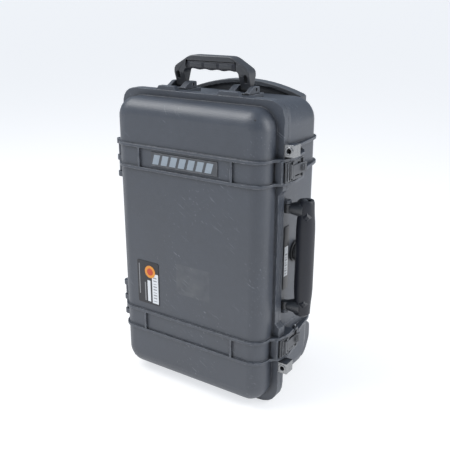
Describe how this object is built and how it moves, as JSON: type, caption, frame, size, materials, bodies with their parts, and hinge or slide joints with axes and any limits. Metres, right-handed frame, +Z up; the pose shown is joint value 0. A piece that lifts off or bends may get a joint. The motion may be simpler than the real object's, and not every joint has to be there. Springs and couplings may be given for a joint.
{
  "type": "rolling flight case",
  "caption": "Moulded rolling equipment case with a hinged lid, over-centre latches, folding carry handles, a telescoping trolley handle and wheels.",
  "frame": {"origin": "on the floor under the middle of the object's box, lid closed and trolley retracted", "axes": "+Z up, +X towards the latches and side handle, +Y from the lid towards the trolley and wheels"},
  "size_m": [0.3912, 0.2326, 0.592],
  "materials": {
    "shell": "satin moulded pebble grain",
    "handle": "satin moulded",
    "grip": "soft overmould",
    "rubber": "matte rubber",
    "steel": "brushed stainless",
    "aluminium": "anodised tube",
    "foam": "open-cell foam",
    "plate": "worn light print",
    "label": "printed film"
  },
  "bodies": {
    "base": {"base_shell": "shell", "top_handle_bracket_right": "handle", "top_handle_bracket_left": "handle", "pressure_valve_body": "handle", "trolley_foot": "handle", "trolley_guide": "handle", "trolley_cover": "handle", "wheel_housing_right": "handle", "wheel_housing_left": "handle", "wheel_fender_right": "handle", "wheel_fender_left": "handle", "hinge_pin_upper": "steel", "hinge_pin_lower": "steel", "latch_pin_upper": "steel", "latch_pin_lower": "steel", "padlock_guard_base_upper": "steel", "padlock_guard_base_lower": "steel", "top_handle_pin_right": "steel", "top_handle_pin_left": "steel", "side_handle_pin_upper": "steel", "side_handle_pin_lower": "steel", "trolley_cover_screw_1": "steel", "trolley_cover_screw_2": "steel", "trolley_cover_screw_3": "steel", "trolley_cover_screw_4": "steel", "wheel_axle_right": "steel", "wheel_axle_left": "steel", "trolley_fixed_tube_right": "aluminium", "trolley_fixed_tube_left": "aluminium", "base_foam_pad": "foam", "serial_label": "label"},
    "lid": {"lid_shell": "shell", "lid_gasket": "rubber", "lid_foam_pad": "foam", "padlock_guard_lid_upper": "steel", "padlock_guard_lid_lower": "steel", "nameplate": "plate", "asset_label": "label"},
    "latch_upper": {"latch_body_upper": "shell"},
    "latch_lower": {"latch_body_lower": "shell"},
    "lever_upper": {"latch_lever_upper": "shell"},
    "lever_lower": {"latch_lever_lower": "shell"},
    "top_handle": {"top_handle_frame": "handle", "top_handle_grip": "grip"},
    "side_handle": {"side_handle_frame": "handle", "side_handle_grip": "grip"},
    "valve_knob": {"pressure_valve_knob": "rubber"},
    "trolley_middle": {"trolley_middle_tube_right": "aluminium", "trolley_middle_tube_left": "aluminium"},
    "trolley_top": {"trolley_inner_tube_right": "aluminium", "trolley_inner_tube_left": "aluminium", "trolley_grip": "handle"},
    "release_button": {"trolley_release_button": "rubber"},
    "wheel_right": {"wheel_tyre_right": "rubber", "wheel_hub_right": "handle", "wheel_bearing_right": "steel"},
    "wheel_left": {"wheel_tyre_left": "rubber", "wheel_hub_left": "handle", "wheel_bearing_left": "steel"}
  },
  "joints": [
    {"name": "lid_hinge", "type": "hinge", "parent": "base", "child": "lid", "pos_m": [-0.18815, -0.05955, 0.2675], "axis": [0, 0, -1], "range_deg": [0, 105]},
    {"name": "latch_upper", "type": "hinge", "parent": "base", "child": "latch_upper", "pos_m": [0.15715, -0.00955, 0.4245], "axis": [0, 0, 1], "range_deg": [0, 100]},
    {"name": "latch_lower", "type": "hinge", "parent": "base", "child": "latch_lower", "pos_m": [0.15715, -0.00955, 0.1135], "axis": [0, 0, 1], "range_deg": [0, 100]},
    {"name": "lever_upper", "type": "hinge", "parent": "latch_upper", "child": "lever_upper", "pos_m": [0.16585, -0.05355, 0.4245], "axis": [0, 0, -1], "range_deg": [0, 55]},
    {"name": "lever_lower", "type": "hinge", "parent": "latch_lower", "child": "lever_lower", "pos_m": [0.16585, -0.05355, 0.1135], "axis": [0, 0, -1], "range_deg": [0, 55]},
    {"name": "top_handle", "type": "hinge", "parent": "base", "child": "top_handle", "pos_m": [-0.00435, -0.02355, 0.5414], "axis": [-1, 0, 0], "range_deg": [0, 75]},
    {"name": "side_handle", "type": "hinge", "parent": "base", "child": "side_handle", "pos_m": [0.15115, -0.03755, 0.269], "axis": [0, 0, 1], "range_deg": [-25, 25]},
    {"name": "valve_knob", "type": "hinge", "parent": "base", "child": "valve_knob", "pos_m": [0.14765, 0.00645, 0.2665], "axis": [1, 0, 0], "range_deg": [0, 120]},
    {"name": "trolley_middle", "type": "slide", "parent": "base", "child": "trolley_middle", "axis": [0, 0, 1], "range_m": [0, 0.2]},
    {"name": "trolley_top", "type": "slide", "parent": "trolley_middle", "child": "trolley_top", "axis": [0, 0, 1], "range_m": [0, 0.2]},
    {"name": "release_button", "type": "slide", "parent": "trolley_top", "child": "release_button", "axis": [0, 0, 1], "range_m": [0, 0.003], "stiffness_N_per_m": 400, "springref_m": -0.003},
    {"name": "wheel_right", "type": "hinge", "parent": "base", "child": "wheel_right", "pos_m": [0.09765, 0.08845, 0.027], "axis": [1, 0, 0], "continuous": true},
    {"name": "wheel_left", "type": "hinge", "parent": "base", "child": "wheel_left", "pos_m": [-0.10635, 0.08845, 0.027], "axis": [1, 0, 0], "continuous": true}
  ]
}
